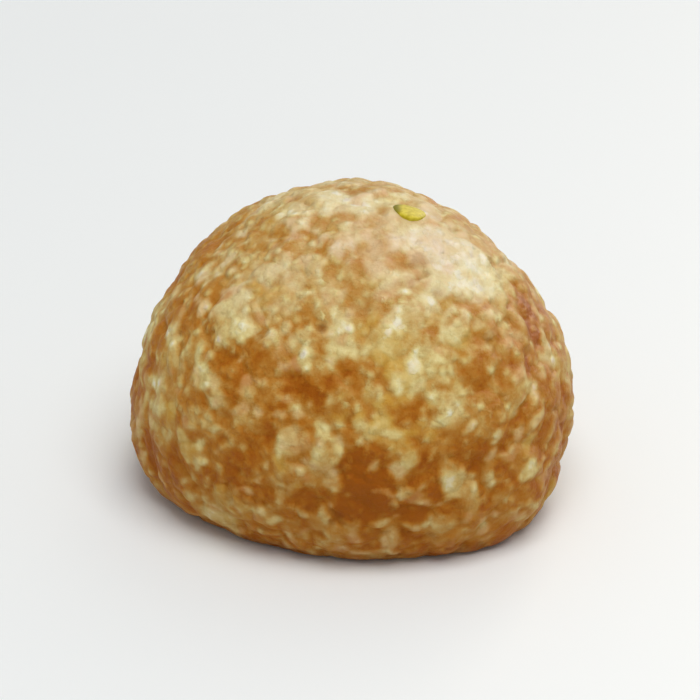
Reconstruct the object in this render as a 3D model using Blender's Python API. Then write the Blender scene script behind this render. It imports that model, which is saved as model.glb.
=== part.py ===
# Ladoo: one hand-rolled ball of sweet crumb that has slumped on a flat foot, with a chip of
# pistachio pressed into its crown. Metres, +Z up. The origin is the middle of the bounding
# box, on the surface that the foot stands on, and the side with the best view faces -Y.

import itertools
import math

import bmesh
import bpy
import numpy as np
from mathutils import Matrix, Vector

# Size of the whole sweet
WIDTH = 0.0520
DEPTH = 0.0505
HEIGHT = 0.0362

# Form: a squat dome over a fuller, slumped lower half. Heights and reaches are from the belt,
# which is the level where the ball is widest.
HALF_WIDTH = 0.0252
HALF_DEPTH = 0.0250
BELT_HEIGHT = 0.0110
DOME_RISE = 0.0248
SLUMP_DROP = 0.0167
DOME_POWER = 2.05
SLUMP_POWER = 2.64
LEAN = 0.0016
FOOT_EDGE = 0.0012
# Share by which the footprint swells towards two and three sides, and the way it swells
OVAL, OVAL_WAY = 0.055, math.radians(-41)
TRIANGLE, TRIANGLE_WAY = 0.024, math.radians(-37)

# Where the hand pressed in or the crumb gave way outwards: the way out from the middle of the
# belt, and how far the surface moves there. Each spreads over this angle.
PRESSES = (
    ((-0.95, 0.15, 0.25), -0.0009),
    ((0.62, 0.36, 0.70), -0.0010),
    ((1.00, 0.00, 0.10), 0.0010),
    ((0.72, -0.50, -0.40), 0.0006),
)
PRESS_SPREAD = math.radians(34)

# Relief: slow swells left by the palm, and the crumbs pressed into the surface
SWELL = {"size": 0.0150, "height": 0.0011, "seed": 10}
CRUMBS = (
    {"size": 0.0078, "depth": 0.00040, "seed": 11},
    {"size": 0.0046, "depth": 0.00034, "seed": 23},
)
# Part of a crumb's size over which its edge rounds off
CRUMB_ROUNDING = 0.55
# Squares along each edge of the cube that is blown up into the ball
GRID = 30

# Chip of pistachio: an uneven slice that stands a little proud of the crown
CHIP_LENGTH = 0.0039
CHIP_WIDTH = 0.0032
CHIP_THICKNESS = 0.0013
CHIP_PROUD = 0.0005
CHIP_SPOT = (0.0068, -0.0028)
CHIP_TURN = math.radians(-12)
# How square the slice's edge is, and how much its rim wanders in and out
CHIP_EDGE_POWER = 0.45
CHIP_WANDER = 0.11

CRUMB_COLOUR = (0.62, 0.42, 0.17, 1.0)
PISTACHIO_COLOUR = (0.44, 0.39, 0.06, 1.0)


def clear_scene():
    for thing in list(bpy.data.objects):
        bpy.data.objects.remove(thing)


def new_object(name, mesh, colour, roughness):
    material = bpy.data.materials.new(name)
    material.use_nodes = True
    shader = material.node_tree.nodes["Principled BSDF"]
    shader.inputs["Base Color"].default_value = colour
    shader.inputs["Roughness"].default_value = roughness
    shader.inputs["Metallic"].default_value = 0.0
    mesh.materials.append(material)
    made = bpy.data.objects.new(name, mesh)
    bpy.context.scene.collection.objects.link(made)
    return made


def lattice_draws(cells, seed):
    """Three fixed numbers from 0 to 1 for each cell of a lattice, mixed from its address. The
    first of four rounds only mixes."""
    cells = cells.astype(np.int64).astype(np.uint64)
    mixed = cells[:, 0] * np.uint64(73856093)
    mixed ^= cells[:, 1] * np.uint64(19349663)
    mixed ^= cells[:, 2] * np.uint64(83492791)
    mixed += np.uint64(seed) * np.uint64(2654435761)
    draws = []
    for _ in range(4):
        mixed ^= mixed >> np.uint64(31)
        mixed *= np.uint64(0x9E3779B97F4A7C15)
        mixed ^= mixed >> np.uint64(29)
        draws.append((mixed >> np.uint64(40)).astype(float) / 2.0**24)
    return np.stack(draws[1:], axis=1)


def palm_swells(points, size, height, seed):
    """Smooth rise and fall: draws at the lattice corners, eased from corner to corner."""
    scaled = points / size
    corner = np.floor(scaled)
    part = scaled - corner
    eased = part * part * (3 - 2 * part)
    total = np.zeros(len(points))
    for step in itertools.product((0, 1), repeat=3):
        share = np.prod(np.where(step, eased, 1 - eased), axis=1)
        total += share * lattice_draws(corner + step, seed)[:, 0]
    return height * (total - 0.5)


def crumb_creases(points, size, depth, seed):
    """Each point belongs to the nearest crumb centre, and the surface dips where the next
    centre is as near, so neighbouring crumbs meet in a rounded crease."""
    scaled = points / size
    home = np.floor(scaled)
    nearest = np.full(len(points), np.inf)
    second = np.full(len(points), np.inf)
    for step in itertools.product((-1, 0, 1), repeat=3):
        cell = home + step
        centre = cell + lattice_draws(cell, seed)
        distance = np.linalg.norm(scaled - centre, axis=1)
        second = np.minimum(second, np.maximum(nearest, distance))
        nearest = np.minimum(nearest, distance)
    rise = np.clip((second - nearest) / CRUMB_ROUNDING, 0, 1)
    return -depth * (1 - rise) ** 2


def dome_points(directions):
    """A superellipsoid over a three-lobed footprint, with its dome leaning to one side."""
    around = np.arctan2(directions[:, 1], directions[:, 0])
    out = np.hypot(directions[:, 0], directions[:, 1])
    above = directions[:, 2] > 0
    power = np.where(above, DOME_POWER, SLUMP_POWER)
    length = (out**power + np.abs(directions[:, 2]) ** power) ** (-1 / power)
    out = out * length
    up = directions[:, 2] * length
    reach = 1 + OVAL * np.cos(2 * (around - OVAL_WAY))
    reach += TRIANGLE * np.cos(3 * (around - TRIANGLE_WAY))
    x = out * reach * np.cos(around) * HALF_WIDTH + LEAN * np.clip(up, 0, None)
    y = out * reach * np.sin(around) * HALF_DEPTH
    z = BELT_HEIGHT + up * np.where(above, DOME_RISE, SLUMP_DROP)
    return np.stack([x, y, z], axis=1)


def hand_presses(directions):
    """Dents and swellings that fade as (1 - t^2)^2 over the angle t from their own way."""
    total = np.zeros(len(directions))
    for way, height in PRESSES:
        towards = directions @ np.array(way) / np.linalg.norm(way)
        away = np.arccos(np.clip(towards, -1, 1)) / PRESS_SPREAD
        total += height * (1 - np.clip(away, 0, 1) ** 2) ** 2
    return total


def rest_on_floor(height):
    """What hangs below the floor is pressed flat on it, through a rounded lower edge."""
    near = np.clip(height, -FOOT_EDGE, FOOT_EDGE) + FOOT_EDGE
    return np.where(height > FOOT_EDGE, height, near**2 / (4 * FOOT_EDGE))


def ball_points(corners):
    """Corners of a cube's grid moved to the surface of the sweet."""
    directions = np.tan(corners * math.pi / 4)
    directions /= np.linalg.norm(directions, axis=1, keepdims=True)
    points = dome_points(directions)
    relief = hand_presses(directions) + palm_swells(points, **SWELL)
    for crumbs in CRUMBS:
        relief += crumb_creases(points, **crumbs)
    points += directions * relief[:, None]
    points[:, 2] = rest_on_floor(points[:, 2])
    low = points.min(axis=0)
    high = points.max(axis=0)
    points -= (low + high) / 2 * (1, 1, 0)
    return points * np.array([WIDTH, DEPTH, HEIGHT]) / (high - low)


def make_ball():
    form = bmesh.new()
    bmesh.ops.create_cube(form, size=2.0)
    bmesh.ops.subdivide_edges(form, edges=form.edges[:], cuts=GRID - 1, use_grid_fill=True)
    corners = np.array([vertex.co for vertex in form.verts])
    for vertex, point in zip(form.verts, ball_points(corners)):
        vertex.co = point
    foot = [face for face in form.faces if max(v.co.z for v in face.verts) <= 0.0]
    bmesh.ops.dissolve_faces(form, faces=foot, use_verts=True)
    bmesh.ops.recalc_face_normals(form, faces=form.faces[:])
    mesh = bpy.data.meshes.new("ladoo")
    form.to_mesh(mesh)
    form.free()
    mesh.shade_smooth()
    return new_object("ladoo", mesh, CRUMB_COLOUR, roughness=0.5)


def make_chip(ball):
    """A slice with a wandering rim, laid on the ball where a line from above meets it."""
    form = bmesh.new()
    bmesh.ops.create_icosphere(form, subdivisions=3, radius=1.0)
    for vertex in form.verts:
        x, y, z = vertex.co
        around = math.atan2(y, x)
        reach = 1 + CHIP_WANDER * (math.cos(2 * around + 1) + math.sin(3 * around)) / 2
        vertex.co.x = x * reach * CHIP_LENGTH / 2
        vertex.co.y = y * reach * CHIP_WIDTH / 2
        vertex.co.z = math.copysign(abs(z) ** CHIP_EDGE_POWER, z) * CHIP_THICKNESS / 2
    mesh = bpy.data.meshes.new("pistachio_chip")
    form.to_mesh(mesh)
    form.free()
    chip = new_object("pistachio_chip", mesh, PISTACHIO_COLOUR, roughness=0.4)
    _, spot, normal, _ = ball.ray_cast((*CHIP_SPOT, 2 * HEIGHT), (0, 0, -1))
    chip.rotation_mode = "QUATERNION"
    lie = Vector((math.cos(CHIP_TURN), math.sin(CHIP_TURN), 0))
    along = (lie - normal * lie.dot(normal)).normalized()
    axes = Matrix((along, normal.cross(along), normal)).transposed()
    chip.rotation_quaternion = axes.to_quaternion()
    chip.location = spot + normal * (CHIP_PROUD - CHIP_THICKNESS / 2)
    return chip


def fuse(ball, toppings):
    """Joins the toppings to the ball as one closed body and removes their own objects."""
    group = bpy.data.collections.new("fused_toppings")
    for topping in toppings:
        group.objects.link(topping)
    union = ball.modifiers.new("fuse", "BOOLEAN")
    union.operation = "UNION"
    union.operand_type = "COLLECTION"
    union.collection = group
    union.solver = "EXACT"
    bpy.context.view_layer.objects.active = ball
    bpy.ops.object.modifier_apply(modifier=union.name)
    for topping in toppings:
        bpy.data.objects.remove(topping)
    bpy.data.collections.remove(group)


def main():
    clear_scene()
    ball = make_ball()
    bpy.context.view_layer.update()
    chip = make_chip(ball)
    fuse(ball, [chip])


main()
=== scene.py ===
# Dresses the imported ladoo: a marbled ball of pressed crumb with a chip of pistachio, on a plain
# pale floor in soft studio light. Metres, +Z up, the front faces -Y.

import itertools
import math

import bpy
import numpy as np
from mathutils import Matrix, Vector


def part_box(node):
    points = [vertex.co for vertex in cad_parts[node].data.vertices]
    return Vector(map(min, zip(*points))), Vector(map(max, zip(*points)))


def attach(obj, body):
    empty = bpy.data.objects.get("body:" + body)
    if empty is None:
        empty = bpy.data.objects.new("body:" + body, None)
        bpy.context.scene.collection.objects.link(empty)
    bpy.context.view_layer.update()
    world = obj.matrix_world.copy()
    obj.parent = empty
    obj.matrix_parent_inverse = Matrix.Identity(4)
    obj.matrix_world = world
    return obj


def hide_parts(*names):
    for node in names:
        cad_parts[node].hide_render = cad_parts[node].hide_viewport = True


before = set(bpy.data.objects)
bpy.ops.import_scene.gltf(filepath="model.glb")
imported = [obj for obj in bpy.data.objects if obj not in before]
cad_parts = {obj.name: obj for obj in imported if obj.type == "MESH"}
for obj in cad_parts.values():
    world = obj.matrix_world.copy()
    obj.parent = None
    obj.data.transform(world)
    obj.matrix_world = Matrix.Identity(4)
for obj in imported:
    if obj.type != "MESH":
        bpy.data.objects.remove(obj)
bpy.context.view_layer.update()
mm = 0.001


def hexToLinear(code):
    # sRGB to linear light: c / 12.92 for the darkest values, ((c + 0.055) / 1.055) ** 2.4 above
    shares = [int(code[at : at + 2], 16) / 255 for at in (0, 2, 4)]
    linear = [c / 12.92 if c <= 0.04045 else ((c + 0.055) / 1.055) ** 2.4 for c in shares]
    return (*linear, 1.0)


def eased(low, high, values):
    # 0 up to low, 1 from high on, and 3t^2 - 2t^3 between them
    t = np.clip((values - low) / (high - low), 0, 1)
    return t * t * (3 - 2 * t)


def addNode(tree, kind, settings=None, links=None):
    # Settings are the node's own properties, its inputs by name or number, or a ramp's stops;
    # links join its inputs to other nodes' outputs
    node = tree.nodes.new("ShaderNode" + kind)
    for key, value in (settings or {}).items():
        if key == "stops":
            while len(node.color_ramp.elements) < len(value):
                node.color_ramp.elements.new(0.5)
            for element, (place, code) in zip(node.color_ramp.elements, value):
                element.position = place
                element.color = hexToLinear(code)
        elif isinstance(key, str) and hasattr(node, key):
            setattr(node, key, value)
        else:
            node.inputs[key].default_value = value
    for key, output in (links or {}).items():
        tree.links.new(output, node.inputs[key])
    return node


def newMaterial(name):
    # An empty node tree with its output, ready for a shader
    material = bpy.data.materials.new(name)
    material.use_nodes = True
    material.node_tree.nodes.clear()
    return material, material.node_tree


def addPiece(name, points, quads, material, paint=None):
    # A smooth mesh of four-sided faces, with one number a point for each name in paint
    mesh = bpy.data.meshes.new(name)
    mesh.from_pydata(points.tolist(), [], quads.tolist())
    mesh.shade_smooth()
    for label, values in (paint or {}).items():
        layer = mesh.attributes.new(label, "FLOAT", "POINT")
        layer.data.foreach_set("value", values.astype(np.float32))
    mesh.materials.append(material)
    piece = bpy.data.objects.new(name, mesh)
    bpy.context.scene.collection.objects.link(piece)
    return piece


def cubeGrid(cells):
    # Six square faces, each a grid of two parameters from -1 to 1, on the cube they make;
    # points that meet at its edges are joined. Faces point outwards.
    u, v = np.meshgrid(*[np.linspace(-1, 1, cells + 1)] * 2, indexing="ij")
    one = np.ones_like(u)
    sides = [(one, u, v), (-one, v, u), (v, one, u), (u, -one, v), (u, v, one), (v, u, -one)]
    points = np.concatenate([np.stack(side, axis=-1).reshape(-1, 3) for side in sides])
    number = np.arange(6 * (cells + 1) ** 2).reshape(6, cells + 1, cells + 1)
    quads = np.stack(
        [number[:, :-1, :-1], number[:, 1:, :-1], number[:, 1:, 1:], number[:, :-1, 1:]], axis=-1
    ).reshape(-1, 4)
    _, first, joined = np.unique(
        np.round(points, 6), axis=0, return_index=True, return_inverse=True
    )
    return points[first], joined.reshape(-1)[quads]


def ballDirections(corners):
    # Cube points spread evenly over the unit ball: the tangent of a quarter turn's share,
    # brought to length one
    directions = np.tan(corners * math.pi / 4)
    return directions / np.linalg.norm(directions, axis=1, keepdims=True)


def pointNormals(points, quads):
    # The cross product of each face's diagonals, added up at its corners and brought to length one
    across = np.cross(points[quads[:, 2]] - points[quads[:, 0]],
                      points[quads[:, 3]] - points[quads[:, 1]])
    normals = np.zeros_like(points)
    for corner in range(4):
        for axis in range(3):
            normals[:, axis] += np.bincount(quads[:, corner], across[:, axis], len(points))
    return normals / np.linalg.norm(normals, axis=1, keepdims=True)


def softened(values, quads):
    # Each face takes the mean of its corners, then each corner the mean of its faces
    shared = np.bincount(quads.reshape(-1), minlength=len(values))
    means = np.repeat(values[quads].mean(axis=1), 4)
    return np.bincount(quads.reshape(-1), means, len(values)) / shared


def latticeDraws(cells, seed):
    # Three fixed numbers from 0 to 1 for each lattice cell, mixed from its address and the seed.
    # The first of four rounds only mixes.
    cells = cells.astype(np.int64).astype(np.uint64)
    mixed = cells[:, 0] * np.uint64(73856093)
    mixed ^= cells[:, 1] * np.uint64(19349663)
    mixed ^= cells[:, 2] * np.uint64(83492791)
    mixed += np.uint64(seed) * np.uint64(2654435761)
    draws = []
    for _ in range(4):
        mixed ^= mixed >> np.uint64(31)
        mixed *= np.uint64(0x9E3779B97F4A7C15)
        mixed ^= mixed >> np.uint64(29)
        draws.append((mixed >> np.uint64(40)).astype(float) / 2.0**24)
    return np.stack(draws[1:], axis=1)


# Rows of a turn, so that no pattern lines up with the sweet's own axes
askew = np.array([[0.36, 0.48, -0.80], [-0.80, 0.60, 0.00], [0.48, 0.64, 0.60]])


def slowNoise(points, size, seed):
    # Three numbers from 0 to 1 a point: draws at the lattice corners, eased from one to the next
    scaled = points / size
    corner = np.floor(scaled)
    part = eased(0, 1, scaled - corner)
    total = np.zeros_like(points)
    for step in itertools.product((0, 1), repeat=3):
        share = np.prod(np.where(step, part, 1 - part), axis=1)
        total += share[:, None] * latticeDraws(corner + step, seed)
    return total


def crumbLead(points, size, seed):
    # How much nearer a point is to its own crumb's centre than to the next, in crumb sizes.
    # One centre is drawn in each lattice cell.
    scaled = points / size
    home = np.floor(scaled)
    nearest, second = np.full((2, len(points)), np.inf)
    for step in itertools.product((-1, 0, 1), repeat=3):
        gap = np.linalg.norm(scaled - home - step - latticeDraws(home + step, seed), axis=1)
        second = np.minimum(second, np.maximum(nearest, gap))
        nearest = np.minimum(nearest, gap)
    return second - nearest


def otherDraws(draws):
    # Three more numbers from 0 to 1, so that a bump's strength doesn't follow from its place
    return (draws * 7.31) % 1


def softBumps(points, size, seed):
    # Three numbers from about -1 to 1 a point: the bumps (1 - r^2)^3 around one drawn place a
    # lattice cell, each raised or sunk by its own draws, added up. The lattice is turned askew.
    scaled = points @ askew.T / size
    home = np.floor(scaled)
    total = np.zeros_like(points)
    for step in itertools.product((-1, 0, 1), repeat=3):
        draws = latticeDraws(home + step, seed)
        reach = ((scaled - home - step - draws) ** 2).sum(axis=1)
        bump = np.clip(1 - reach, 0, 1) ** 3
        total += bump[:, None] * (otherDraws(draws) - 0.5)
    return 3.2 * total  # brings most values between -1 and 1


def roundCrumbs(points, size, seed):
    # Balls of drawn middle and radius, one a cell of the askew lattice, cut open by the surface.
    # Gives the dome 1 - (r / radius)^2 of the ball that stands highest, 0 in the gaps, the way
    # from the point to its middle, and its three draws. Large balls stand higher.
    scaled = points @ askew.T / size
    home = np.floor(scaled)
    dome = np.zeros(len(points))
    towards, own = np.zeros((2, len(points), 3))
    for step in itertools.product((-1, 0, 1), repeat=3):
        draws = latticeDraws(home + step, seed)
        other = otherDraws(draws)
        offset = home + step + draws - scaled
        radius = 0.5 + 0.45 * other[:, 0]
        rise = (1 - (offset**2).sum(axis=1) / radius**2) * (0.5 + 0.5 * other[:, 0])
        wins = rise > dome
        dome = np.where(wins, rise, dome)
        towards = np.where(wins[:, None], offset, towards)
        own = np.where(wins[:, None], other, own)
    return dome, towards @ askew * size, own


def creases(lead, rounding, depth):
    # The surface dips by depth where two crumbs meet, through a parabola
    return -depth * (1 - np.clip(lead / rounding, 0, 1)) ** 2


# The ball: a squat dome over a slumped lower half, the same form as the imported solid.
# Lengths in metres, angles in degrees.
ball = {
    "halfWidth": 25.2 * mm,
    "halfDepth": 25.0 * mm,
    "height": 36.2 * mm,
    "belt": 11.0 * mm,  # level of the widest part
    "rise": 24.8 * mm,
    "drop": 16.7 * mm,
    "domePower": 2.05,
    "slumpPower": 2.64,
    "lean": 1.6 * mm,
    "footEdge": 1.2 * mm,
    "oval": (0.055, -41),
    "triangle": (0.024, -37),
    "presses": (  # the way out from the middle, and how far the surface moves there
        ((-0.95, 0.15, 0.25), -0.9 * mm),
        ((0.62, 0.36, 0.70), -1.0 * mm),
        ((1.00, 0.00, 0.10), 1.0 * mm),
        ((0.72, -0.50, -0.40), 0.6 * mm),
    ),
    "pressSpread": 34,
    "swell": {"size": 15.0 * mm, "height": 1.1 * mm, "seed": 10},
    "lumps": (  # crumbs that the solid has too: across, crease depth, seed
        (7.8 * mm, 0.40 * mm, 11),
        (4.6 * mm, 0.34 * mm, 23),
    ),
    "lumpRounding": 0.55,
    "cells": 125,  # faces along each edge of the cube that is blown up into the ball
}


def domePoints(directions):
    # A superellipsoid, |out|^n + |up|^n = 1, over a footprint that swells as the cosine of two
    # and three times the way round; the dome shifts to one side as it rises
    around = np.arctan2(directions[:, 1], directions[:, 0])
    out = np.hypot(directions[:, 0], directions[:, 1])
    above = directions[:, 2] > 0
    power = np.where(above, ball["domePower"], ball["slumpPower"])
    length = (out**power + np.abs(directions[:, 2]) ** power) ** (-1 / power)
    out, up = out * length, directions[:, 2] * length
    reach = np.ones_like(out)
    for lobes, (share, way) in ((2, ball["oval"]), (3, ball["triangle"])):
        reach += share * np.cos(lobes * (around - math.radians(way)))
    x = out * reach * np.cos(around) * ball["halfWidth"] + ball["lean"] * np.clip(up, 0, None)
    y = out * reach * np.sin(around) * ball["halfDepth"]
    z = ball["belt"] + up * np.where(above, ball["rise"], ball["drop"])
    return np.stack([x, y, z], axis=1)


def handPresses(directions):
    # Dents and swellings that fade as (1 - t^2)^2 over the angle t from their own way
    total = np.zeros(len(directions))
    for way, height in ball["presses"]:
        towards = directions @ np.array(way) / np.linalg.norm(way)
        away = np.degrees(np.arccos(np.clip(towards, -1, 1))) / ball["pressSpread"]
        total += height * (1 - np.clip(away, 0, 1) ** 2) ** 2
    return total


def restOnFloor(height):
    # Pressed flat below the floor, through the parabola (z + e)^2 / 4e at its edge
    near = np.clip(height, -ball["footEdge"], ball["footEdge"]) + ball["footEdge"]
    return np.where(height > ball["footEdge"], height, near**2 / (4 * ball["footEdge"]))


def solidPoints(corners):
    # The dome, with the hand's presses, slow swells and the creases between lumps along each
    # direction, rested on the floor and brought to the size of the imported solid
    directions = ballDirections(corners)
    points = domePoints(directions)
    swell = ball["swell"]
    relief = swell["height"] * (slowNoise(points, swell["size"], swell["seed"])[:, 0] - 0.5)
    relief += handPresses(directions)
    for size, depth, seed in ball["lumps"]:
        relief += creases(crumbLead(points, size, seed), ball["lumpRounding"], depth)
    points += directions * relief[:, None]
    points[:, 2] = restOnFloor(points[:, 2])
    low, high = points.min(axis=0), points.max(axis=0)
    points -= (low + high) / 2 * (1, 1, 0)
    boxLow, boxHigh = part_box("ladoo")
    side = np.array([*(boxHigh - boxLow)[:2], ball["height"]])
    return points * side / (high - low)


# How the two kinds of crumb are mixed. A point's tone runs from 0, clear amber syrup crumb, to
# 1, pale opaque milk crumb.
marbling = {
    # mm: noise size, pull on the pattern, seed
    "drags": ((3.4, 0.8, 31), (1.5, 0.35, 32), (0.9, 0.18, 33)),
    "middle": 0.50,
    "clouds": ((8.0, 0.16, 41), (4.2, 0.20, 42), (2.2, 0.10, 43)),  # mm: size, share, seed
    # Round crumbs: mm apart, how much of the pattern each takes from its own middle, how much
    # lighter or darker each is by itself, how much clearer and darker the gaps are painted (partly
    # painted shade between the crumbs), relief in mm, seed
    "crumbs": ((2.4, 0.6, 0.13, 0.10, 0.22, 45), (1.3, 0.5, 0.22, 0.16, 0.20, 46)),
    "full": 0.45,  # how high a crumb's dome is where the crumb holds its own tone fully
    # How much the crumbs show: least where the palm has smoothed clear amber, growing between
    # these tones, and less again in the palest
    "crumbly": {"least": 0.08, "grows": (0.12, 0.50), "less": 0.4, "palest": (0.85, 1.0)},
    # Small crumbs whose draw is above this are lifted to the tone, by no more than that, and
    # are pinker
    "stray": {"above": 0.82, "tone": 0.72, "lift": 0.6, "pinker": 0.50},
    # Patches that show at the front: their middle and width in mm, then their tone. Wide quiet
    # ones come first, so that the smaller ones lie on them.
    "patches": (
        ((-20, -11, 20), 10.0, 0.64),
        ((-23, -9, 14), 8.0, 0.62),
        ((16, -17, 23), 7.0, 0.42),
        ((-2, 1, 36), 4.8, 1.00),
        ((1, -1, 36), 4.0, 0.98),
        ((11.5, -8.5, 33), 7.6, 1.06),
        ((8.5, -7.5, 34.5), 6.0, 1.06),
        ((15, -8, 31.5), 6.4, 1.06),
        ((13, -11, 31), 4.6, 0.96),
        ((5.5, -8, 34.5), 3.0, 0.86),
        ((6, -13.5, 32), 2.6, 0.92),
        ((-6, -12, 31.5), 2.6, 0.40),
        ((-3, -10.5, 33.5), 2.4, 0.44),
        ((17, -8, 30), 4.4, 0.86),
        ((-8, -12, 31), 5.7, 0.62),
        ((-16, -4, 29), 4.3, 0.60),
        ((4, -19, 28), 5.3, 0.77),
        ((6.5, -19, 27), 5.3, 0.75),
        ((8.5, -20.5, 24), 4.3, 0.81),
        ((5, -13.5, 32), 4.3, 0.74),
        ((11.5, -21.5, 20.5), 3.0, 0.86),
        ((11, -22.5, 19), 2.6, 0.82),
        ((-3, -23, 18), 2.6, 0.96),
        ((-7, -22.5, 16.5), 2.2, 0.86),
        ((3, -24, 19.5), 3.0, 0.82),
        ((6, -24.5, 15.5), 3.4, 0.80),
        ((12, -23, 11.5), 4.4, 1.04),
        ((13.5, -22.5, 10), 3.2, 0.87),
        ((14.5, -22.5, 7.5), 3.9, 0.84),
        ((20.5, -18, 11), 3.0, 0.81),
        ((23, -13, 4), 3.2, 0.82),
        ((-6.5, -22.5, 5), 3.4, 0.44),
        ((19.5, -17, 20.5), 4.3, 0.64),
        ((-8.5, -20.5, 21), 1.8, 0.84),
        ((12.5, -17, 27.5), 3.4, 0.76),
        ((-5, -19, 26), 2.1, 0.72),
        ((-8, -23, 13), 1.6, 0.60),
        ((-3.5, -4.5, 35), 3.4, 0.26),
        ((-1.5, -5, 35.5), 3.0, 0.30),
        ((-16, 0, 29.5), 1.8, 0.34),
        ((-13, 0, 31.5), 2.0, 0.34),
        ((-5.5, -16, 29), 3.7, 0.20),
        ((-6, -20.5, 22.5), 4.3, 0.05),
        ((-3.5, -22, 22), 4.3, 0.04),
        ((0, -21, 25), 3.2, 0.10),
        ((-11, -21, 15.5), 5.2, 0.20),
        ((-11, -22, 11.5), 6.0, 0.20),
        ((-13.5, -20, 12), 3.6, 0.12),
        ((1.5, -25, 14), 8.0, 0.00),
        ((2, -25, 10), 7.4, 0.00),
        ((7, -24.5, 8.5), 4.4, 0.06),
        ((7, -23, 20.5), 3.6, 0.16),
        ((14.5, -19, 24), 4.1, 0.22),
        ((19, -18, 16.5), 4.4, 0.10),
        ((18, -19.5, 15), 3.4, 0.14),
        ((14.5, -21.5, 14.5), 3.9, 0.10),
        ((18, -11.5, 27.5), 3.0, 0.46),
        ((0, -15, 31), 2.0, 0.24),
        ((-5, -23.5, 9.5), 3.3, 0.14),
        ((2.5, -24, 4.5), 4.3, 0.20),
        ((6.5, -24, 4.5), 4.3, 0.24),
        ((17.5, -20.5, 11), 3.7, 0.20),
        ((9.5, -23.5, 14), 2.8, 0.12),
        ((-1, -24.5, 5.5), 4.0, 0.62),
        ((-12.5, -12.5, 29), 3.6, 0.84),
        ((-12, -15, 27), 4.2, 0.82),
        ((-14, -14.5, 25.5), 3.1, 0.70),
        ((-17, -10, 26), 3.4, 0.40),
        ((-12.5, -17, 23.5), 2.4, 0.24),
        ((-20.5, -9, 22), 3.1, 0.70),
        ((-16.5, -15.5, 21.5), 2.8, 0.84),
        ((-15.5, -17.5, 19.5), 3.4, 0.86),
        ((-12, -19.5, 20), 3.6, 0.68),
        ((-20.5, -12, 18.5), 2.4, 0.38),
        ((-16.5, -17.5, 16), 2.4, 0.76),
        ((-22, -12, 15), 2.4, 0.78),
        ((-21.5, -13, 11.5), 3.1, 0.40),
        ((-21.5, -13.5, 8.5), 2.9, 0.44),
        ((-18.5, -16.5, 12), 2.8, 0.74),
        ((-24.5, -6, 9), 3.0, 0.76),
        ((-14.5, -19, 7.5), 2.9, 0.78),
        ((-20, -13.5, 4.5), 1.6, 0.76),
        ((-18, -16.5, 7), 1.6, 0.76),
        ((-19, -14, 3.5), 2.6, 0.20),
        ((20.5, -15.5, 20), 2.8, 0.72),
        ((25, -8, 16.5), 2.4, 0.74),
        ((22, -16, 7.5), 2.8, 0.74),
    ),
    # Patches drawn for the rest of the sweet: their widths in mm, the tones of clear and of pale
    # ones, how far they keep from the listed ones, and the way that is left to those
    "drawn": {
        "count": 130, "across": (3.0, 8.0), "clear": (0.02, 0.26), "pale": (0.76, 1.0),
        "apart": 4.5, "middle": (0, 0, 14), "front": (0, -0.89, 0.46), "seed": 51,
    },
    "hold": 0.88,  # how fully a patch takes its own tone
    "fade": (0.6, 1.25),  # the share of its radius up to which it does, and where it ends
    # Drift of hue, from patch to patch and from crumb to crumb, in mm: size, share, seed. Clear
    # amber keeps its own hue.
    "hues": ((9.0, 0.28, 52), (2.6, 0.36, 53)),
    "hueTones": (0.25, 0.6),
    # How much clearer and darker the crumb is painted towards the foot, partly syrup-soaked crumb
    # and partly painted shade on the lower half, and the levels in mm
    "soakedAndShaded": (0.11, (20.0, 2.0)),
    # How far the crown is drawn to this paler tone, partly paler crumb and partly painted sheen,
    # and the levels
    "paleCrownAndSheen": (0.30, 0.86, (22.0, 33.0)),
}


def allPatches(at):
    # The patches listed above, and drawn ones where the surface turns away from the front.
    # Gives their middles, widths and tones.
    rules = marbling["drawn"]
    draw = np.random.default_rng(rules["seed"])
    count = rules["count"]
    middles = at[draw.choice(len(at), count)]
    widths = draw.uniform(*rules["across"], count)
    aims = np.where(
        draw.random(count) < 0.5, draw.uniform(*rules["clear"], count),
        draw.uniform(*rules["pale"], count),
    )
    shown = np.array([middle for middle, across, aim in marbling["patches"]])
    shownWidths = [across for middle, across, aim in marbling["patches"]]
    shownAims = [aim for middle, across, aim in marbling["patches"]]
    gaps = np.linalg.norm(middles[:, None] - shown[None], axis=2).min(axis=1)
    towards = middles - np.array(rules["middle"])
    front = towards @ np.array(rules["front"]) / np.linalg.norm(towards, axis=1)
    free = (gaps > rules["apart"]) & (front < 0.0)
    return (
        np.concatenate([middles[free], shown]), [*widths[free], *shownWidths],
        [*aims[free], *shownAims],
    )


def dragged(at):
    # Noise of each size pulls the pattern aside
    for size, pull, seed in marbling["drags"]:
        at = at + pull * softBumps(at, size, seed)
    return at


def patchedTone(at, middles, widths, aims):
    # Clouds of tone, then each patch in turn draws the tone towards its own
    tone = np.full(len(at), marbling["middle"])
    for size, share, seed in marbling["clouds"]:
        tone += share * softBumps(at, size, seed)[:, 0]
    for middle, across, aim in zip(middles, widths, aims):
        far = np.linalg.norm(at - middle, axis=1) / (across / 2)
        tone += (1 - eased(*marbling["fade"], far)) * marbling["hold"] * (aim - tone)
    return tone


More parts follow.
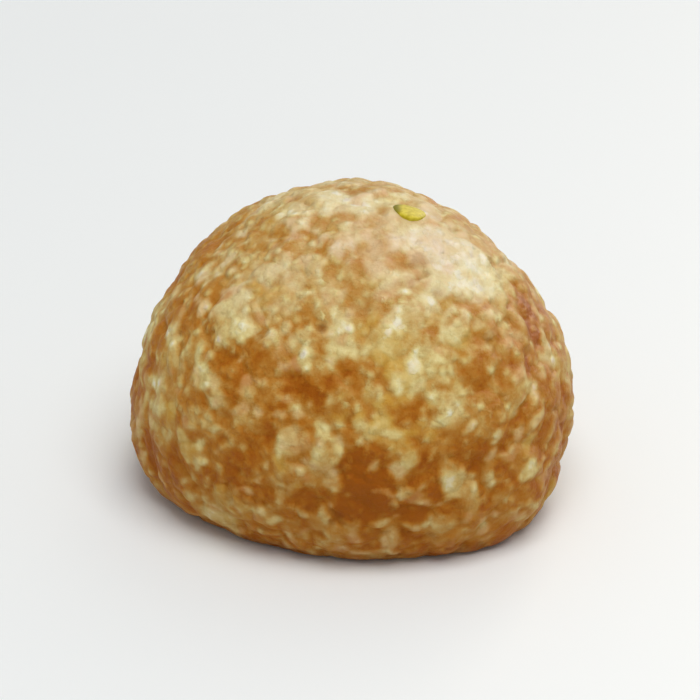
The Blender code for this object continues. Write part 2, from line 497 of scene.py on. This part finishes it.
def marble(points):
    # The pattern is read part of the way towards each crumb's middle, so it changes from crumb
    # to crumb. Patches are dragged with it, so they keep their middles. Gives the tone, the hue
    # (0.5 is plain, 1 pinker, 0 golden) and how many mm the crumbs raise the surface.
    at = dragged(points / mm)
    middles, widths, aims = allPatches(points / mm)
    middles = dragged(middles)
    plain = patchedTone(at, middles, widths, aims)
    show, stray = marbling["crumbly"], marbling["stray"]
    crumbly = show["least"] + (1 - show["least"]) * eased(*show["grows"], plain)
    crumbly -= show["less"] * eased(*show["palest"], plain)
    read, own, rise = at, *np.zeros((2, len(at)))
    for size, taken, lighter, gap, height, seed in marbling["crumbs"]:
        dome, towards, draws = roundCrumbs(at, size, seed)
        full = eased(0.0, marbling["full"], dome)
        read = read + (taken * crumbly * full)[:, None] * towards
        # Off a crumb's dome the tone is painted darker: partly painted shade between the crumbs
        own += crumbly * (lighter * full * (draws[:, 1] - 0.5) * 2 - gap * (1 - full))
        rise += crumbly * height * np.sqrt(dome)
    # Stray pale crumbs are some of the last and smallest layer
    picked = full * (draws[:, 2] > stray["above"])
    own += picked * np.clip(stray["tone"] - plain, 0, stray["lift"])
    hue = stray["pinker"] * picked
    tone = patchedTone(read, middles, widths, aims) + own
    # Painted shade, partly syrup-soaked crumb: clearer and darker towards the foot
    clearer, levels = marbling["soakedAndShaded"]
    tone -= clearer * eased(*levels, at[:, 2])
    # Painted sheen, partly paler crumb: the crown drawn paler
    drawn, sheenTone, levels = marbling["paleCrownAndSheen"]
    tone += drawn * eased(*levels, at[:, 2]) * np.clip(sheenTone - tone, 0, 1)
    tone = np.minimum(tone, 1)
    for place, (size, share, seed) in zip((at, read), marbling["hues"]):
        hue += share * softBumps(place, size, seed)[:, 0] * eased(*marbling["hueTones"], tone)
    return tone, 0.5 + hue, rise


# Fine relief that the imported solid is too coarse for. Lengths and levels in mm. A pair says
# where a share starts and where it is full.
grain = {
    "paleRise": (0.16, (0.0, 0.9)),  # how far pale crumb stands above clear amber, and the tones
    "swell": (2.8, 0.09, 61),  # across, height, seed
    "smoothed": (7.0, 66, (-0.5, 0.6)),  # size of smoothed and crumbly parts, seed, noise
    "gaps": (1.7, 0.20, 67, (0.55, 1.1)),  # size, depth, seed of the gaps between crumbs, noise
    "low": (0.12, 0.0),  # how high a crumb's dome is where painted shade between crumbs begins
    "creviceShades": {"crumbs": 0.35, "gaps": 0.45, "foot": 0.7},  # how much each adds to the painted crevice shade
    "footShade": (3.2, 0.8),  # levels of the painted contact shade along the foot's edge
    "footFlat": (0.2, 2.5),  # levels over which the relief grows from nothing
    "uneven": (6.0, 4.0, 69),  # size, height, seed: how the painted shade and sheen levels waver
    # Levels of the painted shade towards the foot, partly syrup-soaked crumb
    "syrupAndShade": (22.0, 1.0),
    "dust": ((23.0, 34.0), (0.40, 0.80)),  # levels, tones of the painted sheen on the crown
    # The pit that shows at the front: its middle and width; then how the others are drawn
    "pits": {
        "shown": ((-3.2, -17.4, 28.3), 1.9),
        "drawn": 7, "across": (1.0, 1.7), "above": 3, "seed": 71, "depth": 0.45,
    },
}


def pitDips(at):
    # Where a crumb has dropped out the surface dips by (1 - r^2)^2, less in a narrow pit
    pits = grain["pits"]
    draw = np.random.default_rng(pits["seed"])
    high = np.flatnonzero(at[:, 2] > pits["above"])
    middle, across = pits["shown"]
    middles = np.concatenate([[middle], at[draw.choice(high, pits["drawn"])]])
    reaches = np.array([across, *draw.uniform(*pits["across"], pits["drawn"])]) / 2
    dips = np.zeros(len(at))
    for middle, reach in zip(middles, reaches):
        far = np.clip(np.linalg.norm(at - middle, axis=1) / reach, 0, 1)
        dips = np.maximum(dips, (1 - far**2) ** 2 * reach / max(reaches))
    return dips


def dressBall(points, quads):
    # Relief along the surface's own normals: pale crumb and single crumbs stand up, gaps and
    # pits dip. The foot stays flat. Gives the points and what the material reads: the crevice
    # shade, from 0 to 1, is painted shade in gaps, in pits and along the foot's edge.
    tone, hue, rise = [softened(values, quads) for values in marble(points)]
    at = points / mm
    size, seed, noises = grain["smoothed"]
    rough = eased(*noises, softBumps(at, size, seed)[:, 0])
    height, tones = grain["paleRise"]
    relief = height * (eased(*tones, tone) - 0.5) + (0.5 + 0.5 * rough) * rise
    size, height, seed = grain["swell"]
    relief += height * softBumps(at, size, seed)[:, 0]
    adds = grain["creviceShades"]
    # Painted shade where crumb domes are low, between the crumbs
    crevice = adds["crumbs"] * rough * eased(*grain["low"], rise)
    size, depth, seed, noises = grain["gaps"]
    noise = softBumps(at, size, seed)[:, 0] + 0.5 * softBumps(at, size / 2, seed)[:, 1]
    gap = rough * eased(*noises, noise)
    relief -= depth * gap
    crevice += adds["gaps"] * gap
    dips = pitDips(at)
    relief -= grain["pits"]["depth"] * dips
    # Painted shade in the pits and a painted contact shadow along the foot's edge
    crevice += dips + adds["foot"] * eased(*grain["footShade"], at[:, 2])
    relief *= eased(*grain["footFlat"], at[:, 2])
    dressed = points + pointNormals(points, quads) * relief[:, None] * mm
    dressed[:, 2] = np.clip(dressed[:, 2], 0, None)
    # Painted shade grows towards the foot, partly syrup-soaked crumb, and a painted sheen
    # whitens the paler crumb of the crown
    size, height, seed = grain["uneven"]
    level = at[:, 2] + height * softBumps(at, size, seed)[:, 0]
    levels, tones = grain["dust"]
    return dressed, {
        "tone": tone, "hue": hue, "crevice": np.clip(crevice, 0, 1),
        "soak": eased(*grain["syrupAndShade"], level),
        "dust": eased(*levels, level) * eased(*tones, tone),
    }


# Pressed sweet crumb bound with ghee: opaque floury crumb beside clear, syrup-soaked crumb.
# Rolled in an oiled palm, so it is satin, with more gloss where it is clear.
crumbFinish = {
    "tones": (
        (0.00, "A55A08"), (0.14, "B4711B"), (0.30, "BF883A"), (0.46, "CAA35C"),
        (0.62, "D7C07E"), (0.78, "E6D799"), (0.90, "EEE6BB"), (1.00, "F5F0D8"),
    ),
    "tints": (  # colour, what it follows, from which value to which it grows, its most
        ("D89E70", "hue", 0.60, 1.1, 0.42),  # pinker crumb
        ("CFA02E", "hue", 0.42, 0.05, 0.45),  # golden crumb
        # painted shade towards the foot, partly syrup-soaked crumb
        ("985A0E", "soak", 0.0, 1.0, 0.36),
        # painted sheen on the crown
        ("EFE0CE", "dust", 0.0, 1.0, 0.28),
        # painted shade in gaps, pits and along the foot's edge
        ("86440C", "crevice", 0.10, 1.0, 0.60),
    ),
    "breakup": ((0.30, -0.15), (0.50, -0.25), (0.34, -0.08)),  # of crumb, haze, grit: share, centre
    "speck": 1.4 * mm,  # the finest crumbs whose colour shows
    "bump": 0.30 * mm,
    # Of clear crumb, of pale crumb, and the tone from which it is the pale crumb's
    "roughness": (0.42, 0.58, 0.8),
    "film": (0.06, 0.00, 0.6),  # ghee left on the surface
    "glow": (0.55, 0.18, 0.7),  # light let in
}


def pressedCrumb():
    material, tree = newMaterial("pressed_ghee_crumb")
    place = addNode(tree, "TexCoord").outputs["Object"]
    painted = {
        label: addNode(tree, "Attribute", {"attribute_name": label}).outputs["Fac"]
        for label in ("tone", "hue", "crevice", "soak", "dust")
    }
    perMetre = 1 / crumbFinish["speck"]
    askewPlace = addNode(
        tree, "Mapping", {"Rotation": (0.7, 0.4, 0.9)}, {"Vector": place}
    ).outputs["Vector"]
    # Crumb: soft mottling; haze: a finer one; grit: single pale grains with round outlines
    crumb = addNode(
        tree, "TexNoise", {"Scale": perMetre * 0.7, "Detail": 3.0, "Roughness": 0.6},
        {"Vector": askewPlace},
    )
    haze = addNode(
        tree, "TexNoise", {"Scale": perMetre * 2.0, "Detail": 5.0, "Roughness": 0.65},
        {"Vector": askewPlace},
    )
    dragged = addNode(
        tree, "VectorMath", {"operation": "MULTIPLY_ADD", 1: (0.5 * crumbFinish["speck"],) * 3},
        {0: haze.outputs["Color"], 2: askewPlace},
    )
    grit = addNode(
        tree, "TexVoronoi", {"Scale": perMetre}, {"Vector": dragged.outputs["Vector"]}
    )
    # Each grain of grit is a dome, lighter or darker than the rest by its own draw
    chance = addNode(tree, "SeparateColor", links={"Color": grit.outputs["Color"]})
    dome = addNode(tree, "MapRange", {1: 0.55, 2: 0.12}, {0: grit.outputs["Distance"]})
    dot = addNode(
        tree, "Math", {"operation": "MULTIPLY"}, {0: chance.outputs["Red"], 1: dome.outputs[0]}
    )
    # Tone with its fine breakup, each share of it centred on no change
    broken = painted["tone"]
    fine = (crumb.outputs["Fac"], haze.outputs["Fac"], dot.outputs[0])
    for (share, centre), by in zip(crumbFinish["breakup"], fine):
        broken = addNode(
            tree, "Math", {"operation": "MULTIPLY_ADD", 1: share}, {0: by, 2: broken}
        ).outputs[0]
        broken = addNode(tree, "Math", {"operation": "ADD", 1: centre}, {0: broken}).outputs[0]
    colour = addNode(
        tree, "ValToRGB", {"stops": crumbFinish["tones"]}, {0: broken}
    ).outputs["Color"]
    for code, label, low, high, most in crumbFinish["tints"]:
        share = addNode(
            tree, "MapRange", {1: low, 2: high, 3: 0.0, 4: most}, {0: painted[label]}
        )
        colour = addNode(
            tree, "Mix", {"data_type": "RGBA", 7: hexToLinear(code)},
            {0: share.outputs[0], 6: colour},
        ).outputs[2]
    rough, film, glow = [
        addNode(tree, "MapRange", {1: 0.1, 2: full, 3: clear, 4: pale}, {0: by}).outputs[0]
        for (clear, pale, full), by in (
            (crumbFinish["roughness"], broken), (crumbFinish["film"], broken),
            (crumbFinish["glow"], painted["tone"]),
        )
    ]
    height = addNode(
        tree, "Math", {"operation": "MULTIPLY_ADD", 1: 0.5},
        {0: dome.outputs[0], 2: haze.outputs["Fac"]},
    )
    bump = addNode(
        tree, "Bump", {"Strength": 1.0, "Distance": crumbFinish["bump"]},
        {"Height": height.outputs[0]},
    )
    shader = addNode(
        tree, "BsdfPrincipled",
        {
            "IOR": 1.46, "Subsurface Radius": (1.0, 0.70, 0.40),
            "Subsurface Scale": 0.6 * mm, "Coat Roughness": 0.30, "Coat IOR": 1.46,
            "Specular IOR Level": 0.09,
        },
        {
            "Base Color": colour, "Roughness": rough, "Coat Weight": film,
            "Subsurface Weight": glow, "Normal": bump.outputs["Normal"],
        },
    )
    addNode(tree, "OutputMaterial", links={"Surface": shader.outputs[0]})
    return material


corners, quads = cubeGrid(ball["cells"])
points, paint = dressBall(solidPoints(corners), quads)
crumbBall = addPiece("crumb_ball", points, quads, pressedCrumb(), paint)
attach(crumbBall, "root")
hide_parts("ladoo")
print("ball:", len(quads), "faces")


# A slice of pistachio pressed into the crown, yellow green inside a thin darker skin.
# Lengths in mm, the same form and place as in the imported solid.
chip = {
    "length": 3.9,
    "width": 3.2,
    "thickness": 1.3,
    "proud": 0.5,
    "spot": (6.8, -2.8),
    "turn": -12,
    "edgePower": 0.45,
    "wander": 0.11,
    "ripple": (0.9, 0.10, 91),  # across, height, seed
    "bed": 2.0,  # how far around its spot the crown's slope is taken
    # Skin: thin along the rim, from which reach out to which; full on one end, between these
    "skin": (0.2, (0.90, 1.0), (-0.35, -0.80)),
    "cells": 26,
}


def chipPoints(corners, ballAt, normals):
    # A ball pressed flat, z = |z|^power, its rim swelling as cos(2a + 1) + sin(3a), with
    # small ripples, laid on the crown along the surface's normal there
    directions = ballDirections(corners)
    around = np.arctan2(directions[:, 1], directions[:, 0])
    reach = 1 + chip["wander"] * (np.cos(2 * around + 1) + np.sin(3 * around)) / 2
    z = np.copysign(np.abs(directions[:, 2]) ** chip["edgePower"], directions[:, 2])
    flat = np.stack(
        [
            directions[:, 0] * reach * chip["length"],
            directions[:, 1] * reach * chip["width"],
            z * chip["thickness"],
        ],
        axis=1,
    ) / 2
    size, height, seed = chip["ripple"]
    flat += directions * height * (slowNoise(flat, size, seed)[:, :1] - 0.5)
    near = np.linalg.norm(ballAt[:, :2] - chip["spot"], axis=1) < chip["bed"]
    near &= normals[:, 2] > 0  # not the foot below it
    spot, up = ballAt[near].mean(axis=0), normals[near].mean(axis=0)
    up /= np.linalg.norm(up)
    turn = math.radians(chip["turn"])
    along = np.array([math.cos(turn), math.sin(turn), 0.0])
    along -= up * (along @ up)
    along /= np.linalg.norm(along)
    middle = spot + up * (chip["proud"] - chip["thickness"] / 2)
    laid = middle + flat @ np.stack([along, np.cross(up, along), up])
    thin, rim, end = chip["skin"]
    skin = thin * eased(*rim, np.hypot(directions[:, 0], directions[:, 1]))
    return laid * mm, np.maximum(skin, eased(*end, directions[:, 0]))


# Pistachio kernel: oily and slightly translucent, cut with a knife, so its faces are dull
kernelFinish = {
    "inside": ((0.3, "BCA916"), (0.7, "DECE44")),
    "skin": "6E6A14",
    "fleck": 0.5 * mm,
    "bump": 0.05 * mm,
}


def slicedPistachio():
    material, tree = newMaterial("sliced_pistachio_kernel")
    place = addNode(tree, "TexCoord").outputs["Object"]
    skin = addNode(tree, "Attribute", {"attribute_name": "skin"}).outputs["Fac"]
    fleck = addNode(
        tree, "TexNoise", {"Scale": 1 / kernelFinish["fleck"], "Detail": 4.0}, {"Vector": place}
    )
    inside = addNode(
        tree, "ValToRGB", {"stops": kernelFinish["inside"]},
        {0: fleck.outputs["Fac"]},
    )
    edge = addNode(tree, "Math", {"operation": "MULTIPLY", 1: 0.85}, {0: skin})
    colour = addNode(
        tree, "Mix", {"data_type": "RGBA", 7: hexToLinear(kernelFinish["skin"])},
        {0: edge.outputs[0], 6: inside.outputs["Color"]},
    )
    bump = addNode(
        tree, "Bump", {"Strength": 0.6, "Distance": kernelFinish["bump"]},
        {"Height": fleck.outputs["Fac"]},
    )
    rough = addNode(tree, "MapRange", {3: 0.55, 4: 0.70}, {0: fleck.outputs["Fac"]})
    shader = addNode(
        tree, "BsdfPrincipled",
        {
            "IOR": 1.47, "Subsurface Weight": 0.20, "Subsurface Radius": (0.9, 0.8, 0.25),
            "Subsurface Scale": 0.5 * mm, "Specular IOR Level": 0.15,
        },
        {
            "Base Color": colour.outputs[2], "Roughness": rough.outputs[0],
            "Normal": bump.outputs["Normal"],
        },
    )
    addNode(tree, "OutputMaterial", links={"Surface": shader.outputs[0]})
    return material


chipCorners, chipQuads = cubeGrid(chip["cells"])
laid, skin = chipPoints(chipCorners, points / mm, pointNormals(points, quads))
pistachio = addPiece("pistachio_chip", laid, chipQuads, slicedPistachio(), {"skin": skin})
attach(pistachio, "root")
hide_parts("ladoo")
print("pistachio chip:", len(chipQuads), "faces")


# Studio: a pale floor that runs out of sight, one large soft light overhead, a little to the
# front and right, a second at the back right that only adds gloss, and a camera that looks
# down on the sweet as at a table.
studio = {
    "floor": "F2F8FF",
    "floorHalf": 3.0,
    "world": ("FCFAF4", 0.41),
    "lights": (  # name, place, size, watts, colour, whether it lights more than the gloss
        ("overhead", (0.20, -0.46, 1.42), 1.10, 14.6, "FFFBF4", True),
        ("sheen", (0.40, 0.42, 0.46), 0.70, 24.0, "FFF4E2", False),
    ),
    "camera": {"distance": 0.60, "above": 27.5, "aim": (0.0, 0.0, 0.0165), "lens": 262},
}


def paleFloor():
    # White card, pressed smooth but uncoated: nearly matt, so no lamp shows in it
    material, tree = newMaterial("smooth_white_card")
    place = addNode(tree, "TexCoord").outputs["Object"]
    cloud = addNode(tree, "TexNoise", {"Scale": 14.0, "Detail": 3.0}, {"Vector": place})
    rough = addNode(tree, "MapRange", {3: 0.50, 4: 0.58}, {0: cloud.outputs["Fac"]})
    shader = addNode(
        tree, "BsdfPrincipled",
        {"Base Color": hexToLinear(studio["floor"]), "IOR": 1.45, "Specular IOR Level": 0.2},
        {"Roughness": rough.outputs[0]},
    )
    addNode(tree, "OutputMaterial", links={"Surface": shader.outputs[0]})
    half = studio["floorHalf"]
    sheet = np.array([[-half, -half, 0], [half, -half, 0], [half, half, 0], [-half, half, 0]])
    floor = addPiece("floor", sheet, np.array([[0, 1, 2, 3]]), material)


def lightStudio():
    world = bpy.data.worlds.new("studio")
    bpy.context.scene.world = world
    world.use_nodes = True
    code, strength = studio["world"]
    sky = world.node_tree.nodes["Background"]
    sky.inputs["Color"].default_value = hexToLinear(code)
    sky.inputs["Strength"].default_value = strength
    for name, at, size, watts, code, diffuse in studio["lights"]:
        lamp = bpy.data.lights.new(name, "AREA")
        lamp.size = size
        lamp.energy = watts
        lamp.color = hexToLinear(code)[:3]
        light = bpy.data.objects.new(name, lamp)
        light.location = at
        light.visible_diffuse = diffuse
        aim = Vector(studio["camera"]["aim"]) - Vector(at)
        light.rotation_euler = aim.to_track_quat("-Z", "Y").to_euler()
        bpy.context.scene.collection.objects.link(light)


def placeCamera():
    view = studio["camera"]
    above = math.radians(view["above"])
    lens = bpy.data.cameras.new("camera")
    lens.lens = view["lens"]
    camera = bpy.data.objects.new("camera", lens)
    back = Vector((0, -math.cos(above), math.sin(above)))
    camera.location = Vector(view["aim"]) + back * view["distance"]
    camera.rotation_euler = (-back).to_track_quat("-Z", "Y").to_euler()
    bpy.context.scene.collection.objects.link(camera)
    bpy.context.scene.camera = camera


paleFloor()
lightStudio()
placeCamera()
bpy.context.scene.view_settings.view_transform = "Standard"
print("studio ready")
